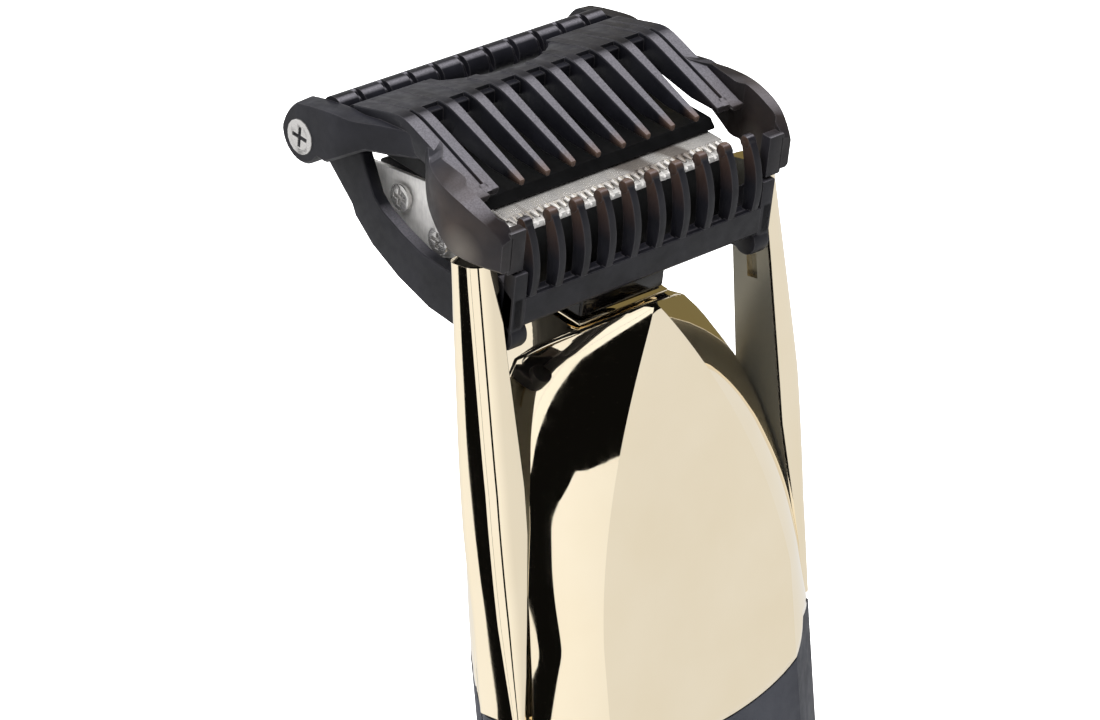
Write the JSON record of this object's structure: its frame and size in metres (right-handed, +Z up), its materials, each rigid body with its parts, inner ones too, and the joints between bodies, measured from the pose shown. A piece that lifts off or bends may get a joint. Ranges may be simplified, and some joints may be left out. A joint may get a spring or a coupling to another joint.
{
  "type": "beard trimmer",
  "caption": "Cordless beard trimmer: polished body, two sliding arms with a height-adjustable comb guard over a wide oscillating blade, and a thumb dial.",
  "frame": {"origin": "centre of the flat base, on the surface that the trimmer stands on", "axes": "+Z up the handle to the blade, -Y out of the front face, +X to the right seen from the front"},
  "size_m": [0.0598, 0.0499, 0.1748],
  "materials": {
    "comb_plastic": "smoky translucent black, fine satin",
    "polished_gold": "mirror polished, pale gold coating",
    "grip_plastic": "soft-touch dark grey",
    "black_gloss": "piano black",
    "black_plastic": "matt black",
    "bright_steel": "bright ground steel",
    "satin_steel": "satin",
    "contact_brass": "plain",
    "board_green": "solder mask",
    "cell_wrap": "shrink wrapped metal can",
    "light_lens": "clear frosted"
  },
  "bodies": {
    "handle": {"front_cover": "polished_gold", "rear_cover": "polished_gold", "collar_trim": "polished_gold", "button_bezel": "polished_gold", "grip_front": "grip_plastic", "grip_rear": "grip_plastic", "bottom_cap": "grip_plastic", "neck_collar": "black_gloss", "head_block": "black_plastic", "blade_cover": "black_plastic", "charge_socket": "black_plastic", "chassis": "black_plastic", "motor_mount": "black_plastic", "dial_bracket": "black_plastic", "plate_screw_left_front": "bright_steel", "plate_screw_left_rear": "bright_steel", "plate_screw_right_front": "bright_steel", "plate_screw_right_rear": "bright_steel", "cover_screw_1": "bright_steel", "cover_screw_2": "bright_steel", "cover_screw_3": "bright_steel", "cover_screw_4": "bright_steel", "fixed_blade": "satin_steel", "side_plate_left": "satin_steel", "side_plate_right": "satin_steel", "motor_can": "satin_steel", "battery_contact_top": "contact_brass", "battery_contact_bottom": "contact_brass", "circuit_board": "board_green", "battery_cell": "cell_wrap", "power_light": "light_lens"},
    "carriage": {"comb_top": "comb_plastic", "comb_rear_bar": "comb_plastic", "comb_lower_frame": "comb_plastic", "comb_screw_left": "bright_steel", "comb_screw_right": "bright_steel", "comb_arm_left": "polished_gold", "comb_arm_right": "polished_gold", "carriage_bridge": "satin_steel", "carriage_rack": "black_plastic", "bridge_pin_left": "bright_steel", "bridge_pin_right": "bright_steel"},
    "dial": {"length_dial": "polished_gold", "dial_axle": "bright_steel", "dial_pinion": "contact_brass"},
    "blade": {"moving_blade": "bright_steel", "drive_fork": "black_plastic"},
    "rotor": {"drive_eccentric": "bright_steel"},
    "button": {"power_button": "black_plastic"}
  },
  "joints": [
    {"name": "comb_height", "type": "slide", "parent": "handle", "child": "carriage", "axis": [0, 0, 1], "range_m": [0, 0.0099]},
    {"name": "length_dial_turn", "type": "hinge", "parent": "handle", "child": "dial", "pos_m": [0, -0.009, 0.066], "axis": [1, 0, 0], "range_deg": [0, 114]},
    {"name": "blade_slide", "type": "slide", "parent": "handle", "child": "blade", "axis": [1, 0, 0], "range_m": [-0.0012, 0.0012]},
    {"name": "motor_spin", "type": "hinge", "parent": "handle", "child": "rotor", "pos_m": [0, 0.001, 0.138], "axis": [0, 0, 1], "continuous": true},
    {"name": "power_press", "type": "slide", "parent": "handle", "child": "button", "axis": [0, 1, 0], "range_m": [0, 0.0008], "stiffness_N_per_m": 900}
  ],
  "couplings": [
    {"joint": "length_dial_turn", "follows": "comb_height", "rad_per_m": 200}
  ]
}
